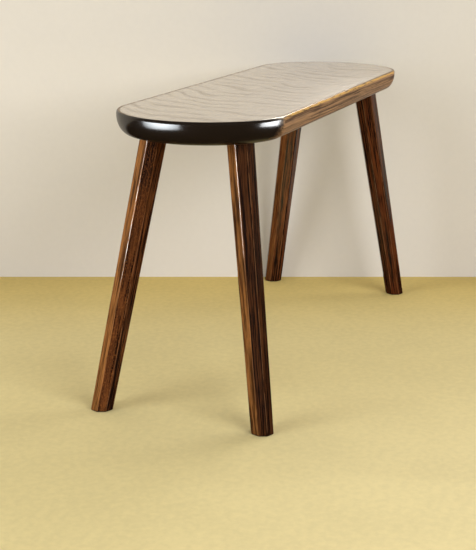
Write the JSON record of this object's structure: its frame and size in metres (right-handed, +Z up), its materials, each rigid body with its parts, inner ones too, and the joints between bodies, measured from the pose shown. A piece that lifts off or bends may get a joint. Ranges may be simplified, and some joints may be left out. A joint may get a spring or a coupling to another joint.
{
  "type": "kneeling bench",
  "caption": "Low kneeling bench: a thick plank seat with rounded ends and rolled edges on splayed, tapered octagonal legs in blind wedged mortises.",
  "frame": {"origin": "on the floor, under the middle of the seat", "axes": "+X along the seat, +Y across it, +Z up"},
  "size_m": [0.471, 0.1588, 0.2445],
  "materials": {
    "seat_wood": "dark stained oak, high gloss clear finish",
    "leg_wood": "dark stained oak, gloss clear finish, red-brown where rubbed thin",
    "wedge_wood": "bare oak, hidden inside the joint"
  },
  "bodies": {
    "root": {"seat": "seat_wood", "leg_front_left": "leg_wood", "leg_front_right": "leg_wood", "leg_back_left": "leg_wood", "leg_back_right": "leg_wood", "tenon_wedge_front_left": "wedge_wood", "tenon_wedge_front_right": "wedge_wood", "tenon_wedge_back_left": "wedge_wood", "tenon_wedge_back_right": "wedge_wood"}
  },
  "joints": []
}
